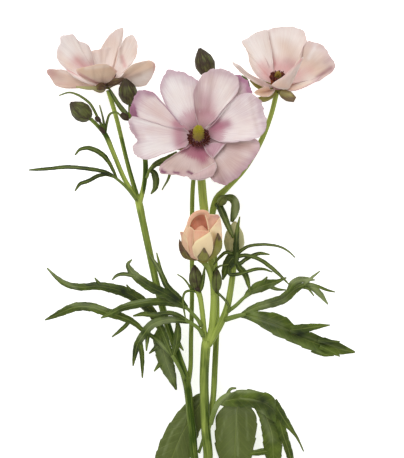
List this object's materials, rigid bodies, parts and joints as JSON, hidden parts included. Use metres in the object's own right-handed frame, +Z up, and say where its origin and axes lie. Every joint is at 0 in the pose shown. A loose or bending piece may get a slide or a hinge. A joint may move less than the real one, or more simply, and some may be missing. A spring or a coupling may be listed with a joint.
{
  "type": "ranunculus flower stem",
  "caption": "Cut branching ranunculus stem lying flat, with open pale mauve and cream blooms, a peach bud, green buds and deeply cut leaves.",
  "frame": {"origin": "bottom centre of the box round the whole lying stem, on the table", "axes": "+Y along the stem from the cut end to the blooms, +Z up from the table, +X to the right seen from above"},
  "size_m": [0.1764, 0.305, 0.052],
  "materials": {
    "stem": "satin",
    "leaf": "matte",
    "bud": "matte",
    "sepal": "matte",
    "mauve_petal": "matte",
    "cream_petal": "matte",
    "peach_petal": "matte",
    "stamen": "matte",
    "pistil": "satin"
  },
  "bodies": {
    "root": {"stems": "stem", "upper_left_leaf": "leaf", "upper_inner_leaf": "leaf", "left_leaf": "leaf", "front_upper_leaf": "leaf", "front_lower_leaf": "leaf", "right_leaf": "leaf", "right_small_leaf": "leaf", "upper_right_leaf": "leaf", "lower_right_leaf": "leaf", "lower_left_leaf": "leaf", "left_bud": "bud", "inner_left_bud": "bud", "top_bud": "bud", "left_knot_bud": "bud", "right_knot_bud": "bud", "right_bud": "bud", "fuzzy_bud": "bud", "front_bloom_petals": "mauve_petal", "front_bloom_stamens": "stamen", "front_bloom_pistil": "pistil", "front_bloom_sepals": "sepal", "left_bloom_petals": "cream_petal", "left_bloom_stamens": "stamen", "left_bloom_pistil": "pistil", "left_bloom_sepals": "sepal", "right_bloom_petals": "cream_petal", "right_bloom_stamens": "stamen", "right_bloom_pistil": "pistil", "right_bloom_sepals": "sepal", "peach_bud_petals": "peach_petal", "peach_bud_sepals": "sepal"}
  },
  "joints": []
}
